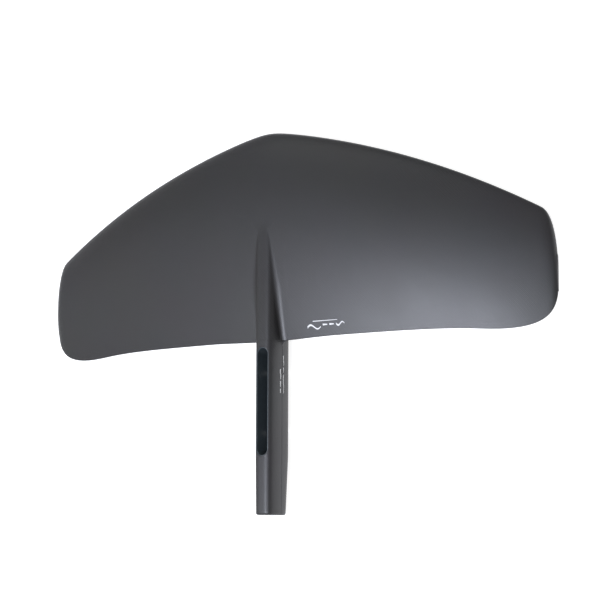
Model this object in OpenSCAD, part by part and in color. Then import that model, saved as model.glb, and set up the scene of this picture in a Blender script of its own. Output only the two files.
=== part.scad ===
// Hydrofoil front wing, moulded in one piece with the fuselage that carries the mast.
// The origin is the middle of the mast seat, on the floor of the mast socket.
// +Y points forward to the nose, +X to the right tip and +Z up along the mast.

/* [Wing] */
// Span, tip to tip
span = 720; // [600:5:880]
// Chord on the centre line, nose to trailing edge
root_chord = 247; // [200:0.5:300]
// Sweep of the leading edge beside the nose, in degrees
nose_sweep = 12; // [6:0.5:18]
// Radius that rounds the nose in plan
nose_round = 20; // [5:1:40]
// Further sweep of the leading edge, gathered by the tip
lead_sweep = 57; // [35:1:75]
// How late that sweep comes in, as a power of the reach along the span
lead_power = 2.36; // [2:0.02:3]
// Forward bow of the trailing edge
trail_bow = 2.2; // [0:0.2:6]
// Backward turn of the trailing edge by the tip
trail_sweep = 26; // [0:1:40]
// Backward flare of the trailing edge beside the fuselage
trail_flare = 2; // [0:0.2:5]
// Half width of that flare along the span
flare_w = 90; // [60:5:140]
// Drop of the tips below the root
tip_drop = 27; // [0:1:45]
// Share of the half span where the leading corner of the tip starts
lead_corner = 0.95; // [0.85:0.01:0.97]
// Share of the half span where the trailing corner of the tip starts
trail_corner = 0.736; // [0.6:0.004:0.9]
// Squareness of the tip corners
corner_power = 2.6; // [2:0.1:4]

/* [Wing section] */
// Thickness at the root
root_thick = 26; // [21:0.2:32]
// Thickness of the section near the tip, as a share of its chord
tip_share = 0.09; // [0.08:0.005:0.13]
// Rise of the camber line at the root
root_camber = 4.2; // [2:0.2:6]
// Angle of the wing to the fuselage, nose up, in degrees
incidence = 1.6; // [0:0.1:3]
// Thickness of the trailing edge
edge_t = 1; // [0.6:0.1:1.6]
// Thickness of the moulded wing skin
skin_t = 1.5; // [1:0.1:2]
// Solid laminate behind the leading edge
lead_wall = 4; // [3:0.5:8]
// Solid laminate ahead of the trailing edge
trail_wall = 12; // [8:1:16]
// Solid laminate at the tips
tip_wall = 30; // [20:1:45]

/* [Spar] */
// Thickness of a spar cap
cap_t = 2; // [1:0.1:2.4]

/* [Fuselage] */
// Width of the fuselage at the wing
fus_w = 28.6; // [25:0.2:34]
// Width of the fuselage at its tail
tail_w = 27.2; // [24:0.1:32]
// Height of the deck above the parting plane
deck_rise = 20.5; // [18:0.1:25]
// Height of the deck at the tail
tail_rise = 19.6; // [17:0.1:24]
// Depth of the keel below the parting plane
keel_drop = 20.9; // [18:0.1:26]
// Depth of the keel at the tail
tail_drop = 16.2; // [14:0.1:18]
// Length of the taper at the tail
taper_l = 68; // [60:1:80]
// Length of the fuselage behind the mast socket
stern_l = 67.5; // [60:0.5:100]
// Flatness of the deck and the keel
deck_power = 4; // [2.4:0.1:5]
// Flatness of the fuselage's sides
side_power = 2.2; // [2:0.1:3]
// Wall of the moulded fuselage shell
fus_wall = 3; // [2:0.1:3.6]
// Solid laminate that closes the tail
end_wall = 6; // [4:0.5:8]
// Rounding of the tail's edges
tail_round = 2.2; // [0.5:0.1:3]
// Reach of the fillet from the fuselage over the wing
fillet_r = 8; // [3:0.5:12]
// Height of that fillet on the fuselage's side
fillet_h = 4.4; // [2:0.2:8]
// Reach of the fuselage under the wing, ahead of the trailing edge
keel_l = 210; // [160:1:225]
// Reach of the fuselage inside the wing's upper side
ridge_l = 215; // [160:1:225]
// Thickness of the laminated bar along the keel
bar_t = 3; // [2:0.1:4]

/* [Mast socket] */
// Length of the socket's liner, outside
socket_l = 126; // [100:1:152]
// Width of the socket's liner, outside
socket_w = 16.4; // [13:0.1:17]
// Depth from the deck to the mast seat
socket_depth = 26; // [21:0.5:28]
// Gap between the trailing edge and the socket
socket_gap = 8; // [8:0.5:24]
// Wall of the liner
liner_t = 0.8; // [0.5:0.1:1.5]
// Floor of the liner
floor_t = 1.5; // [1:0.1:2.5]
// Solid end of the mast block, ahead of the socket and behind it
block_end = 11; // [6:0.5:14]

/* [Screws] */
// Distance between the two mast screws
mast_pitch = 70; // [50:1:90]
// Bore for a mast screw
mast_bore = 6.6; // [5:0.1:8]
// Countersunk mouth of a mast screw's bush
mast_mouth = 12.4; // [10:0.1:13]
// Outer diameter of a mast screw's bush
bush_d = 14.4; // [13.6:0.1:15]
// How far a bush ends inside the rounded keel
bush_recess = 1.2; // [0.6:0.1:2]
// Depth of the rear wing's flat seat in the keel
seat_cut = 1.2; // [0.6:0.1:1.8]
// Distance between the two rear wing screws
rear_pitch = 28; // [22:1:32]
// Distance from the tail to the nearer rear wing screw
rear_end = 14; // [12:0.5:18]
// Core diameter of the rear wing screws' thread
rear_bore = 5; // [4:0.1:6]
// Outer diameter of a threaded insert
insert_d = 9; // [8:0.1:10]
// Length of a threaded insert
insert_l = 12; // [8:0.5:14]

/* [Clearances] */
// Glue line between bonded pieces
bond = 0.3; // [0.2:0.05:0.5]
// Radial gap around the liner, the bushes and the inserts
fit_gap = 0.1; // [0.05:0.01:0.2]

/* [Hidden] */
$fn = 64;
half_span = span / 2;
half_w = fus_w / 2;
te_y = socket_l / 2 + socket_gap;   // root trailing edge
tail_y = -socket_l / 2 - stern_l;   // end of the tail
taper_y = tail_y + taper_l;         // start of the taper
axis_z = socket_depth - deck_rise;  // parting plane of the two shells
fair_x = half_w + fillet_r;         // where the wing leaves the root fairing
block_front = socket_l / 2 + block_end;
block_rear = -block_front;
seat_slope = (keel_drop - tail_drop) / taper_l;
seat_angle = atan(seat_slope);      // the rear wing's seat follows the taper
seat_l = 2 * rear_end + rear_pitch;
past = 40;                          // length of a cut that runs out of the keel
tip_limit = 0.9985;                 // the tip's outline ends in a short straight
corner_fill = 0.6;                  // how far the hollow follows the tip's corners

// Counts of the shells' grid: chord rows, arc columns, fillet columns and so on
chord_rows = 20;
arc_cols = 8;
fillet_cols = 3;
flat_cols = 2;
root_cols = arc_cols + fillet_cols + flat_cols;
wing_cols = root_cols + 16;
turn_rows = 3;
body_rows = 3;
taper_rows = 3;
round_rows = 2;
turn_end = chord_rows + turn_rows;
taper_from = turn_end + body_rows;
round_from = taper_from + taper_rows;
last_row = round_from + round_rows + 1;

// Chord rows that part the inner pieces: leading strip, front core, spar and so on
strip_row = 1;
core_row = 3;
spar_row = 7;
rear_row = 8;
trail_row = 14;
trail_end_row = 16;

// ---- Plan of the wing ----
function reach(x) = min(tip_limit, abs(x) / half_span);
function corner(e, start) = e <= start ? 1
    : pow(1 - pow((e - start) / (1 - start), corner_power), 1 / corner_power);
function free_lead(x) = te_y + root_chord
    - tan(nose_sweep) * (sqrt(x * x + nose_round * nose_round) - nose_round)
    - lead_sweep * pow(reach(x), lead_power);
function free_trail(x) = te_y + trail_bow * pow(reach(x), 2)
    - trail_sweep * pow(reach(x), 6)
    + trail_flare * (1 - pow(max(0, 1 - pow(x / flare_w, 2)), 2));
function cut_off(x, start) = (free_lead(x) - free_trail(x)) / 2
    * (1 - corner(reach(x), start));
function lead_y(x) = free_lead(x) - cut_off(x, lead_corner);
function trail_y(x) = free_trail(x) + cut_off(x, trail_corner);
function chord(x) = lead_y(x) - trail_y(x);
function along(x, c) = lead_y(x) - c * chord(x);

// ---- Section of the wing, c from 0 at the nose to 1 at the trailing edge ----
function half_shape(c) = 5 * (0.2969 * sqrt(c) - 0.126 * c - 0.3516 * c * c
    + 0.2843 * pow(c, 3) - 0.1036 * pow(c, 4));
function thick_share(x) = root_thick / root_chord
    + (tip_share - root_thick / root_chord) * reach(x);
function half_t(x, c) = thick_share(x) * chord(x) * half_shape(c) + edge_t / 2;
function crown(x, c) = 4 * root_camber / root_chord * chord(x) * c * (1 - c);
function sag(x) = tip_drop * pow(abs(x) / half_span, 2);
function lift(y) = (y - te_y) * tan(incidence);
function mid_z(x, c) = axis_z - sag(x) + lift(along(x, c)) + crown(x, c);
function hollow_t(x, c) = max(0, half_t(x, c) - skin_t);

// ---- Lines of the fuselage ----
function aft(y) = max(0, min(1, (taper_y - y) / taper_l));
function base_z(y) = axis_z + max(0, lift(y));
function bullet(s, p) = s <= 0 ? 1 : s >= 1 ? 0 : pow(1 - pow(s, p), 1 / p);
function fus_half(y) = half_w + (tail_w / 2 - half_w) * aft(y);
function deck(y) = deck_rise + (tail_rise - deck_rise) * aft(y);
function keel(y) = keel_drop + (tail_drop - keel_drop) * aft(y);
// Depth of the section above or below the parting surface, which rises with the wing
function depth(y, side) = side > 0
    ? (deck(y) - max(0, lift(y))) * bullet((y - te_y) / ridge_l, 6)
    : (keel(y) + max(0, lift(y))) * bullet((y - te_y) / keel_l, 2.5);
function oval_x(a, t) = a * sign(cos(t)) * pow(abs(cos(t)), 2 / deck_power);
function oval_h(b, t) = b * pow(abs(sin(t)), 2 / side_power);
function oval_angle(b, h) = asin(pow(min(1, max(0, h / b)), side_power / 2));

// ---- Rows and columns that the outer and the inner faces share ----
function row_share(i, x) = i >= chord_rows ? 1
    : (1 - cos(180 * i / (chord_rows - 1))) / 2 * (1 - edge_t / 2 / chord(x));
// The laminate's wall grows at the tip corners, so that the hollow is rounded there too
function outer_x(x) = x <= fair_x ? x
    : fair_x + (x - fair_x) * (half_span - fair_x) / (half_span - tip_wall - fair_x);
function wall_at(x, wall, start) = wall
    + corner_fill * (cut_off(outer_x(x), start) - cut_off(x, start));
function inner_share(i, x) = let (
        ahead = wall_at(x, lead_wall, lead_corner),
        behind = wall_at(x, trail_wall, trail_corner))
    (ahead + (chord(x) - ahead - behind) * row_share(i, x)) / chord(x);
function station(j) = let (t = (j - root_cols) / (wing_cols - root_cols))
    fair_x + (half_span - fair_x) * (1 - pow(1 - t, 2));
function inner_station(j) = fair_x + (station(j) - fair_x)
    * (half_span - tip_wall - fair_x) / (half_span - fair_x);
function share_at(i, x, inside) = inside ? inner_share(i, x) : row_share(i, x);

// A point of the wing beyond the fairing; side is 1 above and -1 below
function wing_point(i, j, side, inside) = let (
        x = inside ? inner_station(j) : station(j),
        c = share_at(i, x, inside),
        rim = i == 0 || i == chord_rows || j == wing_cols,
        t = inside ? hollow_t(x, c) : half_t(x, c))
    [x, along(x, c), mid_z(x, c) + side * (rim ? 0 : t)];

// Height of the bare wing above the parting plane, within the fairing
function bare(i, x, side, inside) = let (c = share_at(i, x, inside))
    side * crown(x, c) + (i == 0 ? 0 : inside ? hollow_t(x, c) : half_t(x, c));

// Column k of a section across the wing's root, as [x, height]
function root_section(i, k, side, inside) = let (
        y = along(0, share_at(i, 0, inside)),
        wall = inside ? fus_wall : 0,
        a = fus_half(y) - wall,
        b = depth(y, side) - wall,
        w = bare(i, a, side, inside))
    b <= max(w, bare(i, 0, side, inside)) + 0.05
    ? let (x = fair_x * k / root_cols) [x, bare(i, x, side, inside)]
    : let (
        low = max(0, w),
        rise = min(fillet_h, 0.55 * (b - low)),
        top_angle = oval_angle(b, low + rise),
        corner_x = oval_x(a, oval_angle(b, low)),
        foot_x = min(corner_x + fillet_r * rise / fillet_h, fair_x - 0.5 * flat_cols))
      k <= arc_cols
      ? let (t = 90 - (90 - top_angle) * k / arc_cols) [oval_x(a, t), oval_h(b, t)]
      : k <= arc_cols + fillet_cols
      ? let (u = (k - arc_cols) / fillet_cols, v = 1 - u)
        v * v * [oval_x(a, top_angle), low + rise] + 2 * u * v * [corner_x, w]
        + u * u * [foot_x, bare(i, foot_x, side, inside)]
      : let (x = foot_x + (fair_x - foot_x) * (k - arc_cols - fillet_cols) / flat_cols)
        [x, bare(i, x, side, inside)];

// Rows behind the trailing edge: the edge turns into the side, then the side runs aft
function turn_angle(i) = 90 * min(1, (i - chord_rows) / turn_rows);
function flare(i) = fillet_r * (1 - sin(turn_angle(i)));
function round_angle(i) = 90 * min(1, max(0, i - round_from) / round_rows);
function between(from, to, share) = from + (to - from) * share;
function aft_y(i) = i <= turn_end ? te_y - fillet_r * (1 - cos(turn_angle(i)))
    : i <= taper_from ? between(te_y - fillet_r, taper_y, (i - turn_end) / body_rows)
    : i <= round_from
    ? between(taper_y, tail_y + tail_round, (i - taper_from) / taper_rows)
    : tail_y + tail_round * (1 - sin(round_angle(i)));
function inner_aft_y(i) = i <= taper_from
    ? between(te_y + trail_wall, taper_y, (te_y - aft_y(i)) / (te_y - taper_y))
    : between(taper_y, tail_y + end_wall, (taper_y - aft_y(i)) / taper_l);
function aft_section(i, k, side, inside) = let (
        y = inside ? inner_aft_y(i) : aft_y(i),
        wall = inside ? fus_wall : tail_round * (1 - cos(round_angle(i))),
        spread = inside ? flare(i) * (fillet_r + fus_wall) / fillet_r : flare(i),
        a = fus_half(y) - wall,
        b = depth(y, side) - wall,
        foot = fillet_h,
        knee = oval_angle(b, foot),
        t = k <= arc_cols ? 90 - (90 - knee) * k / arc_cols
            : knee * (root_cols - k) / (root_cols - arc_cols),
        h = k == root_cols ? 0 : oval_h(b, t))
    [oval_x(a, t) + spread * pow(max(0, 1 - sqrt(h / foot)), 2), h];
// The flat end closes onto the parting plane
function end_section(k, side, inside) =
    [0.97 * aft_section(last_row - 1, k, side, inside)[0], 0];

function root_point(i, k, side, inside) = i < chord_rows
    ? let (p = root_section(i, k, side, inside))
      let (y = along(p[0], share_at(i, p[0], inside)))
      [p[0], y, axis_z + lift(y) - sag(p[0]) + side * p[1]]
    : let (p = i == last_row ? end_section(k, side, inside)
            : aft_section(i, k, side, inside),
        y = inside ? inner_aft_y(i) : aft_y(i))
      [p[0], y, base_z(y) - sag(p[0]) + side * p[1]];

function cols(i) = i <= chord_rows ? wing_cols : root_cols;
function grid_point(i, j, side, inside) = let (
        p = abs(j) <= root_cols ? root_point(i, abs(j), side, inside)
            : wing_point(i, abs(j), side, inside))
    [j < 0 ? -p[0] : p[0], p[1], p[2]];
function index(i, j) = i <= chord_rows ? i * (2 * wing_cols + 1) + j + wing_cols
    : (chord_rows + 1) * (2 * wing_cols + 1)
        + (i - chord_rows - 1) * (2 * root_cols + 1) + j + root_cols;

// Walk around the edge of the grid
rim = concat(
    [for (j = [-wing_cols : wing_cols]) index(0, j)],
    [for (i = [1 : chord_rows]) index(i, wing_cols)],
    [for (j = [wing_cols - 1 : -1 : root_cols]) index(chord_rows, j)],
    [for (i = [chord_rows + 1 : last_row]) index(i, root_cols)],
    [for (j = [root_cols - 1 : -1 : -root_cols]) index(last_row, j)],
    [for (i = [last_row - 1 : -1 : chord_rows]) index(i, -root_cols)],
    [for (j = [-root_cols - 1 : -1 : -wing_cols]) index(chord_rows, j)],
    [for (i = [chord_rows - 1 : -1 : 1]) index(i, -wing_cols)]);

function two(a, b, c, d) = [[a, b, c], [a, c, d]];
function turned(faces) = [for (f = faces) [f[2], f[1], f[0]]];

// One moulded half shell, wing and fuselage together
module half_shell(side) {
    outer = [for (i = [0 : last_row], j = [-cols(i) : cols(i)])
        grid_point(i, j, side, false)];
    inner = [for (i = [0 : last_row], j = [-cols(i) : cols(i)])
        grid_point(i, j, side, true)];
    n = len(outer);
    face = [for (i = [0 : last_row - 1], j = [-cols(i + 1) : cols(i + 1) - 1],
            f = j < 0
                ? two(index(i, j + 1), index(i + 1, j + 1), index(i + 1, j), index(i, j))
                : two(index(i, j), index(i, j + 1), index(i + 1, j + 1), index(i + 1, j)))
        f];
    back = [for (f = turned(face)) f + [n, n, n]];
    edge = [for (m = [0 : len(rim) - 1], p = [rim[m]], q = [rim[(m + 1) % len(rim)]],
            f = outer[p][0] + outer[q][0] < 0
                ? two(q, p, p + n, q + n)
                : two(p, p + n, q + n, q)) f];
    all = concat(face, back, edge);
    polyhedron(concat(outer, inner), side > 0 ? all : turned(all));
}

// ---- Pieces inside the wing ----
// Half height that a bonded piece may fill
function fill_t(i, x) = hollow_t(x, inner_share(i, x)) - bond;
function fill_point(i, x, sense, trim) = let (c = inner_share(i, abs(x)))
    [x, along(x, c), mid_z(x, c) + sense * (fill_t(i, abs(x)) - trim)];

// A piece between two chord rows; top and foot are [sense, trim] of its faces
module filler(xs, first, last, top, foot) {
    nx = len(xs);
    ni = last - first + 1;
    over = [for (i = [first : last], x = xs) fill_point(i, x, top[0], top[1])];
    under = [for (i = [first : last], x = xs) fill_point(i, x, foot[0], foot[1])];
    n = nx * ni;
    face = [for (r = [0 : ni - 2], q = [0 : nx - 2], f = two(r * nx + q, r * nx + q + 1,
        (r + 1) * nx + q + 1, (r + 1) * nx + q)) f];
    back = [for (f = turned(face)) f + [n, n, n]];
    walk = concat([for (q = [0 : nx - 1]) q], [for (r = [1 : ni - 1]) r * nx + nx - 1],
        [for (q = [nx - 2 : -1 : 0]) (ni - 1) * nx + q],
        [for (r = [ni - 2 : -1 : 1]) r * nx]);
    edge = [for (m = [0 : len(walk) - 1], q = [walk[(m + 1) % len(walk)]],
        f = two(walk[m], walk[m] + n, q + n, q)) f];
    polyhedron(concat(over, under), concat(face, back, edge));
}
tip_stations = [for (j = [root_cols : wing_cols - 1]) inner_station(j)];
side_stations = concat([half_w], tip_stations);
centre_stations = [for (m = [-4 : 4]) half_w * m / 4];
half_stations = concat([for (m = [0 : 3]) half_w * m / 4], side_stations);
full_stations = concat([for (m = [len(side_stations) - 1 : -1 : 0]) -side_stations[m]],
    [for (m = [-3 : 3]) half_w * m / 4], side_stations);
whole = [1, 0];
floor_of = [-1, 0];

module core(xs, first, last) {
    filler(xs, first, last, whole, floor_of);
}

// ---- Pieces inside the fuselage ----
inset = fus_wall + bond;
function inner_ring(y) = let (
        a = fus_half(y) - inset,
        up = depth(y, 1) - inset,
        down = depth(y, -1) - inset,
        cut = oval_angle(down, down - bar_t - bond))
    concat([for (t = [180 : -15 : 0]) [oval_x(a, t), y, base_z(y) + oval_h(up, t)]],
        [for (m = [1 : 4]) let (t = cut * m / 4)
            [oval_x(a, t), y, base_z(y) - oval_h(down, t)]],
        [for (m = [4 : -1 : 1]) let (t = cut * m / 4)
            [-oval_x(a, t), y, base_z(y) - oval_h(down, t)]]);
function bar_ring(y) = let (
        a = fus_half(y) - inset,
        down = depth(y, -1) - inset,
        cut = oval_angle(down, down - bar_t))
    [for (m = [0 : 8]) let (t = cut + (180 - 2 * cut) * m / 8)
        [oval_x(a, t), y, base_z(y) - oval_h(down, t)]];

// Skin a row of rings, given from the front to the back
module loft(rings) {
    n = len(rings[0]);
    last = len(rings) - 1;
    sides = [for (r = [0 : last - 1], q = [0 : n - 1],
        f = two(r * n + q, r * n + (q + 1) % n, (r + 1) * n + (q + 1) % n,
            (r + 1) * n + q)) f];
    front = [for (q = [1 : n - 2]) [0, q + 1, q]];
    rear = [for (q = [1 : n - 2]) [last * n, last * n + q, last * n + q + 1]];
    polyhedron([for (r = rings, p = r) p], concat(sides, front, rear));
}
// Places of the rings of a loft, with one more where the taper starts
function steps(from, to, count) = let (step = (to - from) / count)
    [for (m = [0 : count], y = [from + m * step])
        each m < count && y > taper_y && y + step < taper_y ? [y, taper_y] : [y]];
core_front = along(half_w, inner_share(rear_row, half_w)) - bond;
tail_in = tail_y + end_wall + bond;

// Round ended slot along Y, centred on the origin
module slot(length, width, low, high) {
    run = length / 2 - width / 2;
    translate([-width / 2, -run, low]) cube([width, 2 * run, high - low]);
    for (y = [-run, run])
        translate([0, y, low]) cylinder(d = width, h = high - low);
}
module at_mast_screws() {
    for (y = [-mast_pitch / 2, mast_pitch / 2]) translate([0, y, 0]) children();
}
// Frame of the rear wing's seat, from its edge at the tail
module on_rear_seat() {
    translate([0, tail_y, axis_z - tail_drop + seat_cut]) rotate([-seat_angle, 0, 0]) children();
}
module at_rear_screws() {
    on_rear_seat()
        for (m = [0, 1]) translate([0, rear_end + m * rear_pitch, 0]) children();
}
// The bush ends a little inside the rounded keel
function bush_foot(y) = axis_z - keel(y) + bush_recess;
module bush_holes() {
    at_mast_screws()
        translate([0, 0, -past]) cylinder(d = bush_d + 2 * fit_gap, h = past - floor_t);
}
module insert_holes() {
    at_rear_screws()
        translate([0, 0, -past])
            cylinder(d = insert_d + 2 * fit_gap, h = past + insert_l + fit_gap);
}
module rear_seat_cut() {
    on_rear_seat() translate([-fus_w, -past, -past]) cube([2 * fus_w, seat_l + past, past]);
}

module upper_skin() {
    color([0.2, 0.2, 0.21])
        difference() {
            half_shell(1);
            slot(socket_l + 2 * fit_gap, socket_w + 2 * fit_gap, axis_z + 1, socket_depth + 5);
        }
}
module lower_skin() {
    color([0.17, 0.17, 0.18])
        difference() {
            half_shell(-1);
            bush_holes();
            insert_holes();
            rear_seat_cut();
        }
}
module leading_edge_left() {
    color([0.12, 0.12, 0.13]) mirror([1, 0, 0]) leading_edge();
}
module leading_edge_right() {
    color([0.12, 0.12, 0.13]) leading_edge();
}
module leading_edge() {
    core(half_stations, strip_row, core_row);
}
module front_core_left() {
    color([0.85, 0.8, 0.6]) mirror([1, 0, 0]) front_core();
}
module front_core_right() {
    color([0.85, 0.8, 0.6]) front_core();
}
module front_core() {
    core(side_stations, core_row, spar_row);
}
module nose_core() {
    color([0.75, 0.65, 0.45]) core(centre_stations, core_row, spar_row);
}
module spar_cap_upper() {
    color([0.1, 0.1, 0.1])
        filler(full_stations, spar_row, rear_row, whole, [1, cap_t]);
}
module spar_cap_lower() {
    color([0.1, 0.1, 0.1])
        filler(full_stations, spar_row, rear_row, [-1, cap_t], floor_of);
}
module spar_web() {
    color([0.3, 0.3, 0.32])
        filler(full_stations, spar_row, rear_row, [1, cap_t], [-1, cap_t]);
}
module rear_core_left() {
    color([0.85, 0.8, 0.6]) mirror([1, 0, 0]) rear_core();
}
module rear_core_right() {
    color([0.85, 0.8, 0.6]) rear_core();
}
module rear_core() {
    core(side_stations, rear_row, trail_row);
}
module trailing_edge_left() {
    color([0.12, 0.12, 0.13]) mirror([1, 0, 0]) trailing_edge();
}
module trailing_edge_right() {
    color([0.12, 0.12, 0.13]) trailing_edge();
}
module trailing_edge() {
    core(side_stations, trail_row, trail_end_row);
}
module fuselage_core() {
    color([0.75, 0.65, 0.45])
        loft([for (y = steps(core_front, block_front + bond, 6)) inner_ring(y)]);
}
module keel_bar() {
    color([0.1, 0.1, 0.1])
        difference() {
            loft([for (y = steps(core_front, tail_in, 14)) bar_ring(y)]);
            bush_holes();
            insert_holes();
        }
}
module mast_block() {
    color([0.15, 0.15, 0.16])
        difference() {
            loft([for (y = steps(block_front, block_rear, 4)) inner_ring(y)]);
            slot(socket_l + 2 * fit_gap, socket_w + 2 * fit_gap, -floor_t - fit_gap,
                socket_depth);
            bush_holes();
        }
}
module socket_liner() {
    rim_z = axis_z + deck_rise * pow(1 - pow(socket_w / fus_w, deck_power), 1 / side_power);
    color([0.03, 0.04, 0.04])
        difference() {
            slot(socket_l, socket_w, -floor_t, rim_z - bond);
            slot(socket_l - 2 * liner_t, socket_w - 2 * liner_t, 0, rim_z + 1);
            at_mast_screws() translate([0, 0, -floor_t - 1]) cylinder(d = mast_bore, h = floor_t + 2);
        }
}
module mast_screw_bushes() {
    color([0.7, 0.7, 0.72])
        for (y = [-mast_pitch / 2, mast_pitch / 2]) bush(y);
}
module bush(y) {
    foot = bush_foot(y);
    cone_h = (mast_mouth - mast_bore) / 2;
    translate([0, y, 0])
        difference() {
            translate([0, 0, foot]) cylinder(d = bush_d, h = -floor_t - fit_gap - foot);
            translate([0, 0, foot - 1]) cylinder(d = mast_bore, h = past);
            translate([0, 0, foot]) cylinder(d1 = mast_mouth, d2 = mast_bore, h = cone_h);
        }
}
module tail_block() {
    color([0.15, 0.15, 0.16])
        difference() {
            loft([for (y = steps(block_rear - bond, tail_in, 3)) inner_ring(y)]);
            insert_holes();
        }
}
module tail_inserts() {
    color([0.75, 0.6, 0.3])
        at_rear_screws()
            difference() {
                cylinder(d = insert_d, h = insert_l);
                translate([0, 0, -1]) cylinder(d = rear_bore, h = insert_l);
            }
}

upper_skin();
lower_skin();
leading_edge_left();
leading_edge_right();
front_core_left();
front_core_right();
nose_core();
spar_cap_upper();
spar_cap_lower();
spar_web();
rear_core_left();
rear_core_right();
trailing_edge_left();
trailing_edge_right();
fuselage_core();
keel_bar();
mast_block();
socket_liner();
mast_screw_bushes();
tail_block();
tail_inserts();
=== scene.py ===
import math

import bmesh
import bpy
from mathutils import Matrix, Vector


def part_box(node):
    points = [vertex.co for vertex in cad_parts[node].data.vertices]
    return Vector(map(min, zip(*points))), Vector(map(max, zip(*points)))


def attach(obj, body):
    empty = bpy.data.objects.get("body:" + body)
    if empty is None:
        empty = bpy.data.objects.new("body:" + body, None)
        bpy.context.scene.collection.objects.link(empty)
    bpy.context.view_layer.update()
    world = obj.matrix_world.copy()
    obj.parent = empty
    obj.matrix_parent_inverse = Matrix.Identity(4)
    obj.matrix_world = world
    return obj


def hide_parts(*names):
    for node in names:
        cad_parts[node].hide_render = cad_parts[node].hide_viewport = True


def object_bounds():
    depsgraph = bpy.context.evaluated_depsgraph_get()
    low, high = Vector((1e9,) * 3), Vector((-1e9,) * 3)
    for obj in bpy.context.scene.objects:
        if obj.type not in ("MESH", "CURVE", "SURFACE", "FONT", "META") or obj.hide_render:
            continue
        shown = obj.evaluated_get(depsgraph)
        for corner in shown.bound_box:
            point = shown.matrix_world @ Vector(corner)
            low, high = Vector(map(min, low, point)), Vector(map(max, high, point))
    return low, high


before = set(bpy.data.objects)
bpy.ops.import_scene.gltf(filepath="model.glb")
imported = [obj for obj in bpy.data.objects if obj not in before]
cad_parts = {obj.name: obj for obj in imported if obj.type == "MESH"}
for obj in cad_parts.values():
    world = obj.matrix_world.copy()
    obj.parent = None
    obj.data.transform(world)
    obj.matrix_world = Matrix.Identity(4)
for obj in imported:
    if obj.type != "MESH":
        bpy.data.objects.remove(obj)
cadLow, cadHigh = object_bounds()
print("frame loaded")


# camera, lights and floor
view = {
    "turn": 35.0,          # degrees towards the right tip
    "lean": 6.575,         # degrees back towards the tail
    "roll": -0.775,
    "incidence": 1.6,      # the wing sits nose up, and the view is taken from the wing
    "distance": 2.1302,
    "lens": 110.2,
    "aim": (0.04030, 0.04610),   # ahead of the root trailing edge, along the wing
}
light = {
    "world": 0.33, "aim": (0, 0.05, 0),
    "key": {"place": (-0.34, -0.37, 1.48), "size": (0.58, 0.36), "power": 21.5,
            "tint": (0.84, 0.88, 1.0)},
    "edge": {"place": (0.42, -0.46, 1.40), "size": (0.50, 0.36), "power": 6.5,
             "tint": (0.84, 0.88, 1.0)},
    "left": {"place": (-1.7, 0.0, 1.25), "size": (1.3, 1.3), "power": 3.5,
             "tint": (0.97, 0.98, 1)},
    "front": {"place": (-0.7, 1.5, 1.5), "size": (1.4, 1.0), "power": 3.5, "tint": (1, 1, 1)},
}
floorLook = {"size": 9.0, "gap": 0.0004, "tone": (0.55, 0.55, 0.55), "glow": 0.86}

# what the frame gives, in metres
socketGap = 0.008                                # from the socket to the trailing edge
partingRise = 0.004                              # parting plane above the seat, less the liner's floor
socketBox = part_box("socket_liner")
trailY = socketBox[1].y + socketGap              # root trailing edge
partZ = -socketBox[0].z + partingRise             # parting plane of the two shells
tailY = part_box("lower_skin")[0].y


def aimCamera():
    tilt = Matrix.Rotation(math.radians(view["incidence"]), 4, "X")
    turned = (tilt @ Matrix.Rotation(math.radians(view["turn"]), 4, "Y")
              @ Matrix.Rotation(math.radians(view["lean"]), 4, "X")
              @ Matrix.Rotation(math.radians(view["roll"]), 4, "Z"))
    target = Vector((0, trailY, partZ)) + tilt @ Vector((*view["aim"], 0))
    camera = bpy.data.objects.new("camera", bpy.data.cameras.new("camera"))
    camera.data.lens = view["lens"]
    camera.data.sensor_width = 36
    camera.matrix_world = Matrix.Translation(target + turned.col[2].xyz * view["distance"]) @ turned
    bpy.context.scene.collection.objects.link(camera)
    bpy.context.scene.camera = camera


def softbox(name):
    look = light[name]
    lamp = bpy.data.lights.new(name, "AREA")
    lamp.shape = "ELLIPSE"
    lamp.size, lamp.size_y = look["size"]
    lamp.energy = look["power"]
    lamp.color = look["tint"]
    holder = bpy.data.objects.new(name, lamp)
    holder.location = look["place"]
    facing = Vector(light["aim"]) - holder.location
    holder.rotation_euler = facing.to_track_quat("-Z", "Y").to_euler()
    bpy.context.scene.collection.objects.link(holder)


def newMaterial(name):
    material = bpy.data.materials.new(name)
    material.use_nodes = True
    tree = material.node_tree
    return material, tree, tree.nodes["Principled BSDF"]


def node(tree, kind, **sockets):
    made = tree.nodes.new("ShaderNode" + kind)
    for key, value in sockets.items():
        if key in made.inputs:
            made.inputs[key].default_value = value
        else:
            setattr(made, key, value)
    return made


def join(tree, *pairs):
    for out, into in pairs:
        tree.links.new(out, into)


def layFloor():
    mesh = bpy.data.meshes.new("floor")
    bm = bmesh.new()
    bmesh.ops.create_grid(bm, x_segments=4, y_segments=4, size=floorLook["size"] / 2)
    bmesh.ops.translate(bm, vec=(0, 0, cadLow[2] - floorLook["gap"]), verts=bm.verts)
    bm.to_mesh(mesh)
    bm.free()
    floor = bpy.data.objects.new("floor", mesh)
    bpy.context.scene.collection.objects.link(floor)
    material, tree, shader = newMaterial("paleFloor")
    shader.inputs["Base Color"].default_value = (*floorLook["tone"], 1)
    shader.inputs["Roughness"].default_value = 0.9
    shader.inputs["Specular IOR Level"].default_value = 0.1
    shader.inputs["Emission Color"].default_value = (1, 1, 1, 1)
    shader.inputs["Emission Strength"].default_value = floorLook["glow"]
    mesh.materials.append(material)


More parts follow.
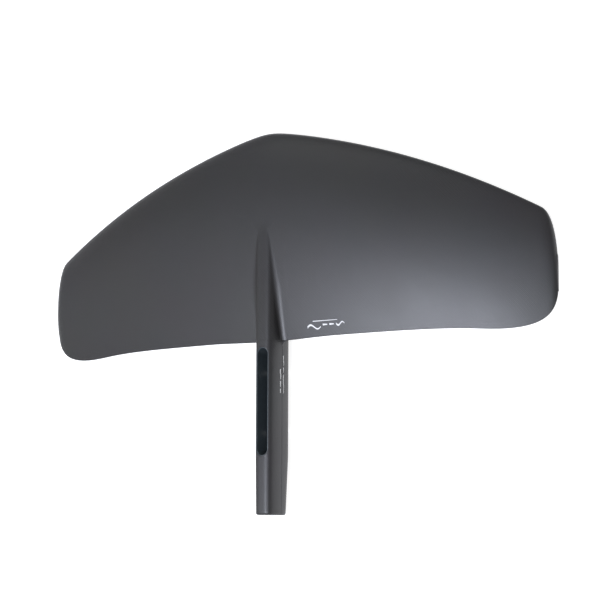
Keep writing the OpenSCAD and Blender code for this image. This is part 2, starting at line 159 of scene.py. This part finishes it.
aimCamera()
for name in ("key", "edge", "left", "front"):
    softbox(name)
bpy.context.scene.view_settings.view_transform = "Standard"
world = bpy.data.worlds.new("studio")
world.use_nodes = True
world.node_tree.nodes["Background"].inputs["Color"].default_value = (1, 1, 1, 1)
world.node_tree.nodes["Background"].inputs["Strength"].default_value = light["world"]
bpy.context.scene.world = world
layFloor()
print("camera, lights and floor")


# woven cloth of the skins, and the grained finishes
cloth = {
    "tow": 0.0011,                 # width of one carbon tow
    "dark": (0.0185, 0.0181, 0.0190), "pale": (0.0350, 0.0342, 0.0360),
    "roughLow": 0.33, "roughHigh": 0.45, "bump": 0.00007,
}


def wovenCarbon(name):
    material, tree, shader = newMaterial(name)
    place = node(tree, "UVMap", uv_map="cloth")
    size = node(tree, "Mapping")
    size.inputs["Scale"].default_value = (1 / cloth["tow"], 1 / cloth["tow"], 1)
    squares = node(tree, "TexChecker", Scale=1.0)
    squares.inputs["Color1"].default_value = (*cloth["dark"], 1)
    squares.inputs["Color2"].default_value = (*cloth["pale"], 1)
    diagonal = node(tree, "TexWave", wave_type="BANDS", bands_direction="DIAGONAL",
                    Scale=0.16, Distortion=0.0)
    space = node(tree, "TexCoord")
    patches = node(tree, "TexNoise", Scale=7.0, Detail=4.0, Roughness=0.55)
    grain = node(tree, "TexNoise", Scale=900.0, Detail=2.0)
    twill = node(tree, "MixRGB", blend_type="MULTIPLY", Fac=0.20)
    mottle = node(tree, "MixRGB", blend_type="MULTIPLY", Fac=0.25)
    rough = node(tree, "MapRange")
    rough.inputs["To Min"].default_value = cloth["roughLow"]
    rough.inputs["To Max"].default_value = cloth["roughHigh"]
    relief = node(tree, "Math", operation="ADD")
    bump = node(tree, "Bump", Strength=0.35, Distance=cloth["bump"])
    join(tree, (place.outputs["UV"], size.inputs["Vector"]),
         (size.outputs["Vector"], squares.inputs["Vector"]),
         (size.outputs["Vector"], diagonal.inputs["Vector"]),
         (space.outputs["Object"], patches.inputs["Vector"]),
         (space.outputs["Object"], grain.inputs["Vector"]),
         (squares.outputs["Color"], twill.inputs["Color1"]),
         (diagonal.outputs["Color"], twill.inputs["Color2"]),
         (twill.outputs["Color"], mottle.inputs["Color1"]),
         (patches.outputs["Color"], mottle.inputs["Color2"]),
         (mottle.outputs["Color"], shader.inputs["Base Color"]),
         (patches.outputs["Fac"], rough.inputs["Value"]),
         (rough.outputs["Result"], shader.inputs["Roughness"]),
         (squares.outputs["Fac"], relief.inputs[0]),
         (grain.outputs["Fac"], relief.inputs[1]),
         (relief.outputs["Value"], bump.inputs["Height"]),
         (bump.outputs["Normal"], shader.inputs["Normal"]))
    return material


def grained(name, dark, pale, roughness, scale, stretch=(1, 1, 1), metal=0.0, bumpBy=0.0001):
    material, tree, shader = newMaterial(name)
    place = node(tree, "TexCoord")
    size = node(tree, "Mapping")
    size.inputs["Scale"].default_value = stretch
    grain = node(tree, "TexNoise", Scale=scale, Detail=5.0, Roughness=0.6)
    tone = node(tree, "MixRGB")
    tone.inputs["Color1"].default_value = (*dark, 1)
    tone.inputs["Color2"].default_value = (*pale, 1)
    rough = node(tree, "MapRange")
    rough.inputs["To Min"].default_value = roughness - 0.08
    rough.inputs["To Max"].default_value = roughness + 0.08
    bump = node(tree, "Bump", Strength=0.4, Distance=bumpBy)
    shader.inputs["Metallic"].default_value = metal
    join(tree, (place.outputs["Object"], size.inputs["Vector"]),
         (size.outputs["Vector"], grain.inputs["Vector"]),
         (grain.outputs["Fac"], tone.inputs["Fac"]),
         (tone.outputs["Color"], shader.inputs["Base Color"]),
         (grain.outputs["Fac"], rough.inputs["Value"]),
         (rough.outputs["Result"], shader.inputs["Roughness"]),
         (grain.outputs["Fac"], bump.inputs["Height"]),
         (bump.outputs["Normal"], shader.inputs["Normal"]))
    return material


strands = {"dark": (0.012, 0.012, 0.013), "pale": (0.05, 0.05, 0.053), "roughness": 0.4, "scale": 160}
turned = {"roughness": 0.3, "scale": 300, "stretch": (1, 1, 12), "metal": 1.0, "bumpBy": 0.00003}
skinCloth = wovenCarbon("satinCarbonCloth")
foam = grained("closedCellFoam", (0.62, 0.55, 0.37), (0.80, 0.74, 0.55), 0.8, 900)
denseFoam = grained("denseFoam", (0.46, 0.34, 0.19), (0.62, 0.49, 0.31), 0.75, 1400)
pressedCarbon = grained("pressedCarbon", (0.018, 0.018, 0.020), (0.045, 0.045, 0.048), 0.45, 500,
                        stretch=(1, 6, 1))
strandCarbon = grained("strandCarbon", **strands, stretch=(1, 14, 14))
strandKeel = grained("strandKeelCarbon", **strands, stretch=(14, 1, 14))
linerBlack = grained("socketBlack", (0.045, 0.056, 0.064), (0.08, 0.10, 0.11), 0.35, 260,
                     bumpBy=0.00003)
turnedSteel = grained("turnedSteel", (0.52, 0.52, 0.54), (0.70, 0.70, 0.71), **turned)
turnedBrass = grained("turnedBrass", (0.62, 0.45, 0.20), (0.78, 0.60, 0.30), **turned)
markWhite = grained("markWhite", (0.62, 0.62, 0.62), (0.80, 0.80, 0.80), 0.5, 1200, bumpBy=0.00001)
print("materials")


# lines of the wing and the fuselage, in millimetres
wing = {
    "halfSpan": 360.0, "rootChord": 247.0, "noseSweep": 12.0, "noseRound": 20.0,
    "leadSweep": 57.0, "leadPower": 2.36, "trailBow": 2.2, "trailSweep": 26.0,
    "trailFlare": 2.0, "flareWidth": 90.0,
    "tipDrop": 27.0, "leadCorner": 0.95, "trailCorner": 0.736, "cornerPower": 2.6,
    "rootThick": 26.0, "tipShare": 0.09, "rootCamber": 4.2, "incidence": 1.6,
    "edge": 0.5,               # half the thickness of the trailing edge
    "edgeIn": 0.004,           # share of the chord over which that thickness comes in
    "lastReach": 0.9985,       # the tip's outline ends in a short straight
}
body = {
    "half": 14.3, "tailHalf": 13.6, "deck": 20.5, "tailDeck": 19.6, "keel": 20.9,
    "tailKeel": 16.2, "taper": 68.0, "deckPower": 4.0, "sidePower": 2.2, "tailRound": 2.2,
    "fillet": 8.0, "filletHigh": 4.4, "keelLength": 210.0, "ridgeLength": 215.0,
}
teY = trailY * 1000
axisZ = partZ * 1000
endY = tailY * 1000
fairX = body["half"] + body["fillet"]
rise = math.tan(math.radians(wing["incidence"]))


def reach(x):
    return min(wing["lastReach"], abs(x) / wing["halfSpan"])


def cornerCut(x, start):
    power = wing["cornerPower"]
    past = max(0.0, (reach(x) - start) / (1 - start))
    left = (1 - past ** power) ** (1 / power)
    return (freeLead(x) - freeTrail(x)) / 2 * (1 - left)


def freeLead(x):
    swept = math.sqrt(x * x + wing["noseRound"] ** 2) - wing["noseRound"]
    return (teY + wing["rootChord"] - math.tan(math.radians(wing["noseSweep"])) * swept
            - wing["leadSweep"] * reach(x) ** wing["leadPower"])


def freeTrail(x):
    flare = 1 - max(0.0, 1 - (x / wing["flareWidth"]) ** 2) ** 2
    return (teY + wing["trailBow"] * reach(x) ** 2 - wing["trailSweep"] * reach(x) ** 6
            + wing["trailFlare"] * flare)


def leadLine(x):
    return freeLead(x) - cornerCut(x, wing["leadCorner"])


def trailLine(x):
    return freeTrail(x) + cornerCut(x, wing["trailCorner"])


def chordAt(x):
    return leadLine(x) - trailLine(x)


def halfShape(c):
    return 5 * (0.2969 * math.sqrt(c) - 0.126 * c - 0.3516 * c * c
                + 0.2843 * c ** 3 - 0.1036 * c ** 4)


def halfThick(x, c):
    share = wing["rootThick"] / wing["rootChord"]
    share += (wing["tipShare"] - share) * reach(x)
    lip = wing["edge"] * min(1.0, math.sqrt(c / wing["edgeIn"]))
    return share * chordAt(x) * halfShape(c) + lip


def crown(x, c):
    return 4 * wing["rootCamber"] / wing["rootChord"] * chordAt(x) * c * (1 - c)


def sag(x):
    return wing["tipDrop"] * (abs(x) / wing["halfSpan"]) ** 2


def lift(y):
    return (y - teY) * rise


def bullet(s, power):
    return 1.0 if s <= 0 else 0.0 if s >= 1 else (1 - s ** power) ** (1 / power)


def aftShare(y):
    return max(0.0, min(1.0, (endY + body["taper"] - y) / body["taper"]))


def bodyHalf(y):
    return body["half"] + (body["tailHalf"] - body["half"]) * aftShare(y)


def bodyDepth(y, side):
    up = max(0.0, lift(y))
    if side > 0:
        deck = body["deck"] + (body["tailDeck"] - body["deck"]) * aftShare(y)
        return (deck - up) * bullet((y - teY) / body["ridgeLength"], 6)
    keel = body["keel"] + (body["tailKeel"] - body["keel"]) * aftShare(y)
    return (keel + up) * bullet((y - teY) / body["keelLength"], 2.5)


def ovalX(a, t):
    across = math.cos(t)
    if abs(across) < 1e-9:
        return 0.0
    return a * math.copysign(abs(across) ** (2 / body["deckPower"]), across)


def ovalH(b, t):
    return b * abs(math.sin(t)) ** (2 / body["sidePower"])


def ovalAngle(b, h):
    return math.asin(min(1.0, max(0.0, h / b)) ** (body["sidePower"] / 2))


def angleAtX(a, x):
    return math.acos(min(1.0, max(0.0, x / a)) ** (body["deckPower"] / 2))


# the two moulded shells
shell = {
    "chordRows": 64, "turnRows": 8, "step": 3.0, "roundRows": 4,
    "slotCols": 6, "arcCols": 18, "filletCols": 10, "flatCols": 5, "wingCols": 64,
    "wall": 0.0005,
    "seam": 0.35,                        # depth of the groove on the parting line
    "seamFade": 60.0,                    # length over which it turns shallower
    "holeRim": 0.0003, "holeDepth": 0.0028, "crease": 0.5,
    "seamLoss": 0.6,                     # share of its depth that it loses by then
    "blend": 0.55,                       # the fillet takes at most this share of the height left
    "proud": 0.05,                       # the fuselage shows only where it is this much above the wing
    "endFace": 0.97,                     # width of the flat end, as a share of the tail's
    "holeSteps": 12,                     # rows over a quarter turn of a hole's edge
    "holeEase": (1.25, 1.6),             # rows past a hole, as shares of its radius
    "holeWidest": 0.9,                   # a hole takes at most this share of the half width
}
screw = {"mast": 35.0, "bushHole": 7.3, "tailAft": 13.69, "tailFore": 41.65, "insertHole": 4.6}
openings = {                             # holes in the shells, as (middle, run, radius)
    1: [(0.0, 54.7, 8.3)],
    -1: [(screw["mast"], 0.0, screw["bushHole"]), (-screw["mast"], 0.0, screw["bushHole"]),
         (endY + screw["tailFore"], 0.0, screw["insertHole"]),
         (endY + screw["tailAft"], 0.0, screw["insertHole"])],
}
seat = {
    "slope": math.atan((body["keel"] - body["tailKeel"]) / body["taper"]),
    "cut": 1.2, "length": 56.0,
}
innerCols = shell["slotCols"] + shell["arcCols"]
rootCols = innerCols + shell["filletCols"] + shell["flatCols"]
allCols = rootCols + shell["wingCols"]


# half width of the hole at y and whether y is inside it, or else the ease towards the nearest hole
def openHalf(y, side):
    best = None
    for middle, run, radius in openings[side]:
        off = abs(y - middle) - run
        if off <= 0:
            return radius, True
        if off <= radius:
            return math.sqrt(max(0.0, radius ** 2 - off ** 2)), off < radius - 1e-6
        gap = min(1.0, (off - radius) / radius)
        width = radius * math.sqrt(1 - (1 - gap) ** 2)
        if best is None or off - radius < best[0]:
            best = (off - radius, width)
    return best[1], False


def bodyRows(side):
    first, last = teY - body["fillet"], endY + body["tailRound"]
    places = {round(first, 4), round(last, 4)}
    turns = [math.sin(math.radians(90 * k / shell["holeSteps"])) for k in range(shell["holeSteps"] + 1)]
    for middle, run, radius in openings[side]:
        for share in (*turns, *shell["holeEase"]):
            off = run + radius * share
            places.update((round(middle + off, 4), round(middle - off, 4)))
    if side < 0:               # a close pair of rows keeps the seat's edge sharp
        edge = endY + seat["length"] * math.cos(seat["slope"])
        places.update((round(edge + 0.05, 4), round(edge - 0.05, 4)))
    stops = sorted((y for y in places if last <= y <= first), reverse=True)
    rows = [stops[0]]
    for stop in stops[1:]:
        start = rows[-1]
        parts = max(1, math.ceil((start - stop) / shell["step"]))
        rows += [start + (stop - start) * k / parts for k in range(1, parts + 1)]
    return rows[1:]


# rows from the nose to the tail, as (kind, place along it, turn of the trailing edge)
def rowPlan(side):
    rows = []
    count = shell["chordRows"]
    for i in range(count + 1):
        rows.append(("wing", (1 - math.cos(math.pi * i / count)) / 2, 0.0))
    for a in (30, 60, 90):
        rows.append(("edge", 1.0, math.radians(a)))
    for i in range(1, shell["turnRows"] + 1):
        rows.append(("turn", math.radians(90 * i / shell["turnRows"]), 0.0))
    rows += [("body", y, 0.0) for y in bodyRows(side)]
    for i in range(1, shell["roundRows"] + 1):
        rows.append(("round", math.radians(90 * i / shell["roundRows"]), 0.0))
    rows.append(("end", 0.0, 0.0))
    return rows


def bareHeight(x, c, side, squash):
    return side * crown(x, c) + halfThick(x, c) * squash


# a point of the wing's root or of the fuselage over it, as x, y, z
def rootPoint(row, k, side):
    kind, value, turn = row
    squash = math.cos(turn) if kind == "edge" else 1.0
    y0 = leadLine(0) - value * chordAt(0)
    a, b = bodyHalf(y0), bodyDepth(y0, side)
    w = bareHeight(a, value, side, squash)
    if b <= max(w, bareHeight(0, value, side, squash)) + shell["proud"]:
        x = fairX * k / rootCols
        h = bareHeight(x, value, side, squash)
    else:
        low = max(0.0, w)
        up = min(body["filletHigh"], shell["blend"] * (b - low))
        topAngle = ovalAngle(b, low + up)
        cornerX = ovalX(a, ovalAngle(b, low))
        footX = min(cornerX + body["fillet"] * up / body["filletHigh"], fairX - 1)
        if k <= innerCols:
            t = math.pi / 2 - (math.pi / 2 - topAngle) * k / innerCols
            x, h = ovalX(a, t), ovalH(b, t)
        elif k <= innerCols + shell["filletCols"]:
            u = (k - innerCols) / shell["filletCols"]
            v = 1 - u
            x = v * v * ovalX(a, topAngle) + 2 * u * v * cornerX + u * u * footX
            h = v * v * (low + up) + 2 * u * v * w + u * u * bareHeight(footX, value, side, squash)
        else:
            x = footX + (fairX - footX) * (k - innerCols - shell["filletCols"]) / shell["flatCols"]
            h = bareHeight(x, value, side, squash)
    back = wing["edge"] * math.sin(turn) if kind == "edge" else 0.0
    y = leadLine(x) - value * chordAt(x) - back + (wing["edge"] if value == 1.0 else 0)
    return x, y, axisZ + lift(y) - sag(x) + side * h


# a point of the fuselage behind the wing
def aftPoint(row, k, side):
    kind, value, _ = row
    wall, flare = 0.0, 0.0
    if kind == "turn":
        y = teY - body["fillet"] * (1 - math.cos(value))
        flare = body["fillet"] * (1 - math.sin(value))
    elif kind == "body":
        y = value
    else:
        angle = value if kind == "round" else math.pi / 2
        y = endY + body["tailRound"] * (1 - math.sin(angle))
        wall = body["tailRound"] * (1 - math.cos(angle))
    a, b = bodyHalf(y) - wall, bodyDepth(y, side) - wall
    foot = body["filletHigh"]
    knee = ovalAngle(b, foot)
    slot = shell["slotCols"]
    if k <= innerCols:
        if kind == "body":
            wide = min(openHalf(y, side)[0], a * shell["holeWidest"])
            edge = angleAtX(a, wide)
            if k <= slot:
                t = angleAtX(a, wide * k / slot)
            else:
                t = edge + (knee - edge) * (k - slot) / shell["arcCols"]
        else:
            t = math.pi / 2 - (math.pi / 2 - knee) * k / innerCols
    else:
        t = knee * (rootCols - k) / (rootCols - innerCols)
    x = ovalX(a, t)
    h = 0.0 if k == rootCols else ovalH(b, t)
    x += flare * max(0.0, 1 - math.sqrt(h / foot)) ** 2
    if k == rootCols:          # the parting line shows as a fine groove
        x -= shell["seam"] * (1 - shell["seamLoss"] * min(1.0, (teY - y) / shell["seamFade"]))
    if kind == "end":
        x, h = shell["endFace"] * x, 0.0
    z = axisZ - sag(x) + side * h
    if side < 0 and kind != "end":
        down = (y - endY) * math.tan(seat["slope"])
        if (y - endY) < seat["length"] * math.cos(seat["slope"]):
            z = max(z, axisZ - body["tailKeel"] + seat["cut"] - down)
    return x, y, z


# a point of the wing beyond the root fairing
def wingPoint(row, k, side):
    kind, c, turn = row
    t = (k - rootCols) / shell["wingCols"]
    x = fairX + (wing["halfSpan"] - fairX) * (1 - (1 - t) ** 2)
    rim = k == allCols or (kind == "wing" and c == 0) or turn >= math.pi / 2 - 1e-6
    thick = 0.0 if rim else halfThick(x, c) * (math.cos(turn) if kind == "edge" else 1.0)
    back = wing["edge"] * math.sin(turn) if kind == "edge" else 0.0
    y = leadLine(x) - c * chordAt(x) - back + (wing["edge"] if c == 1.0 else 0)
    return x, y, axisZ - sag(x) + lift(y) + crown(x, c) + side * thick


def shellPoint(rows, i, j, side):
    k = abs(j)
    row = rows[i]
    if row[0] in ("wing", "edge"):
        x, y, z = rootPoint(row, k, side) if k <= rootCols else wingPoint(row, k, side)
        if row[0] == "wing" and row[1] == 0:
            z = axisZ + lift(y) - sag(x)
    else:
        x, y, z = aftPoint(row, k, side)
    return Vector((-x if j < 0 else x, y, z)) * 0.001


def isHole(rows, cells, side):
    if any(abs(j) > shell["slotCols"] or rows[i][0] != "body" for i, j in cells):
        return False
    return openHalf(sum(rows[i][1] for i, j in cells) / len(cells), side)[1]


def mouldShell(name, side, cad):
    rows = rowPlan(side)
    wingRows = shell["chordRows"] + 3
    last = len(rows) - 1
    bm = bmesh.new()
    bmesh.ops.create_grid(bm, x_segments=2 * allCols, y_segments=last, size=0.5)
    row, col = {}, {}
    for v in bm.verts:
        row[v] = last - round((v.co.y + 0.5) * last)
        col[v] = round((v.co.x + 0.5) * 2 * allCols) - allCols
    spare = [v for v in bm.verts if row[v] > wingRows and abs(col[v]) > rootCols]
    bmesh.ops.delete(bm, geom=spare, context="VERTS")
    for v in bm.verts:
        v.co = shellPoint(rows, row[v], col[v], side)
    holes = [f for f in bm.faces if isHole(rows, [(row[v], col[v]) for v in f.verts], side)]
    bmesh.ops.delete(bm, geom=holes, context="FACES")
    uv = bm.loops.layers.uv.new("cloth")
    across = {}        # distance over the surface from the middle, so the weave isn't stretched
    for i in range(len(rows)):
        before, run = None, 0.0
        for k in range((allCols if i <= wingRows else rootCols) + 1):
            point = shellPoint(rows, i, k, side)
            run += (point - before).length if before else 0.0
            across[i, k], before = run, point
    for f in bm.faces:
        for loop in f.loops:
            v = loop.vert
            run = across[row[v], abs(col[v])]
            endDrop = 0.5 * v.co.z if row[v] == last else 0
            loop[uv].uv = (-run if col[v] < 0 else run, v.co.y + endDrop)
    if side < 0:
        bmesh.ops.reverse_faces(bm, faces=bm.faces)
    bmesh.ops.remove_doubles(bm, verts=bm.verts, dist=0.00001)
    openEdges = [e for e in bm.edges if e.is_boundary and all(
        abs(v.co.x) < 0.009 and tailY + 0.004 < v.co.y < trailY - 0.006 for v in e.verts)]
    drop = bmesh.ops.extrude_edge_only(bm, edges=openEdges)
    low = [g for g in drop["geom"] if isinstance(g, bmesh.types.BMVert)]
    bmesh.ops.translate(bm, vec=(0, 0, -shell["holeDepth"] * side), verts=low)
    bmesh.ops.bevel(bm, geom=openEdges, offset=shell["holeRim"], segments=2, affect="EDGES",
                    profile=0.5, material=-1, clamp_overlap=True)
    for f in bm.faces:
        f.smooth = True
    for e in bm.edges:
        if len(e.link_faces) == 2 and e.verts[0].co.y < trailY - 0.004:
            e.smooth = e.calc_face_angle(0) < shell["crease"]
    finishPiece(name, bm, skinCloth, [cad], shell["wall"])


def finishPiece(name, bm, material, cads, wall):
    mesh = bpy.data.meshes.new(name)
    bm.to_mesh(mesh)
    bm.free()
    mesh.materials.append(material)
    piece = bpy.data.objects.new(name, mesh)
    bpy.context.scene.collection.objects.link(piece)
    thicken = piece.modifiers.new("wall", "SOLIDIFY")
    thicken.thickness = wall
    thicken.offset = -1
    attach(piece, "root")
    if cads:
        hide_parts(*cads)


mouldShell("upperShell", 1, "upper_skin")
mouldShell("lowerShell", -1, "lower_skin")
print("moulded shells")


# plain white marks, printed on the wing and on the side of the fuselage
mark = {
    "lift": 0.05, "film": 0.00004, "cuts": 14,
    # each stroke runs from one point to another, with its half width and its bow, in millimetres,
    # and its places along the object are measured forward from the root trailing edge
    "wing": [(52, 13, 70, 13, 1.2, 2.4), (73, 15, 79, 15, 1.1, 0.0), (82, 15, 88, 15, 1.1, 0.0),
             (91, 15, 102, 15, 1.1, -1.8), (60, 19.5, 93, 19.5, 0.5, 0.0)],
    "side": [(-17, -2.6, -29, -2.6, 0.5, 0.4), (-31, -2.6, -37, -2.6, 0.5, 0.0),
             (-39, -2.6, -61, -2.6, 0.5, 0.5), (-33, 3.2, -45, 3.2, 0.7, 0.5),
             (-47, 3.2, -54, 3.2, 0.7, 0.0), (-56, 3.2, -61, 3.2, 0.7, 0.0)],
}


def onWing(x, ahead):
    y = teY + ahead
    c = (leadLine(x) - y) / chordAt(x)
    return Vector((x, y, axisZ + lift(y) - sag(x) + crown(x, c) + halfThick(x, c) + mark["lift"]))


def onSide(ahead, h):
    y = teY + ahead
    a, b = bodyHalf(y), bodyDepth(y, 1 if h > 0 else -1)
    return Vector((ovalX(a, ovalAngle(b, abs(h))) + mark["lift"], y, axisZ + h))


def printMark(name, strokes, surface):
    bm = bmesh.new()
    for u0, v0, u1, v1, half, bow in strokes:
        made = bmesh.ops.create_grid(bm, x_segments=mark["cuts"], y_segments=1, size=0.5)
        for v in made["verts"]:
            s = v.co.x + 0.5
            u = u0 + (u1 - u0) * s
            w = v0 + (v1 - v0) * s + bow * math.sin(2 * math.pi * s) + v.co.y * 2 * half * (1 - 0.5 * s)
            v.co = surface(u, w) * 0.001
    finishPiece(name, bm, markWhite, [], mark["film"])


printMark("wingMark", mark["wing"], onWing)
printMark("sideMark", mark["side"], onSide)
print("marks")


# finishes of the pieces that stay as they are
finishes = {
    foam: ["front_core_left", "front_core_right", "rear_core_left", "rear_core_right"],
    denseFoam: ["nose_core", "fuselage_core"],
    pressedCarbon: ["leading_edge_left", "leading_edge_right", "trailing_edge_left",
                    "trailing_edge_right", "spar_web", "mast_block", "tail_block"],
    strandCarbon: ["spar_cap_upper", "spar_cap_lower"],
    strandKeel: ["keel_bar"],
    linerBlack: ["socket_liner"],
    turnedSteel: ["mast_screw_bushes"],
    turnedBrass: ["tail_inserts"],
}
for finish, names in finishes.items():
    for name in names:
        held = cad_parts[name]
        held.data.materials.clear()
        held.data.materials.append(finish)
print("finishes")
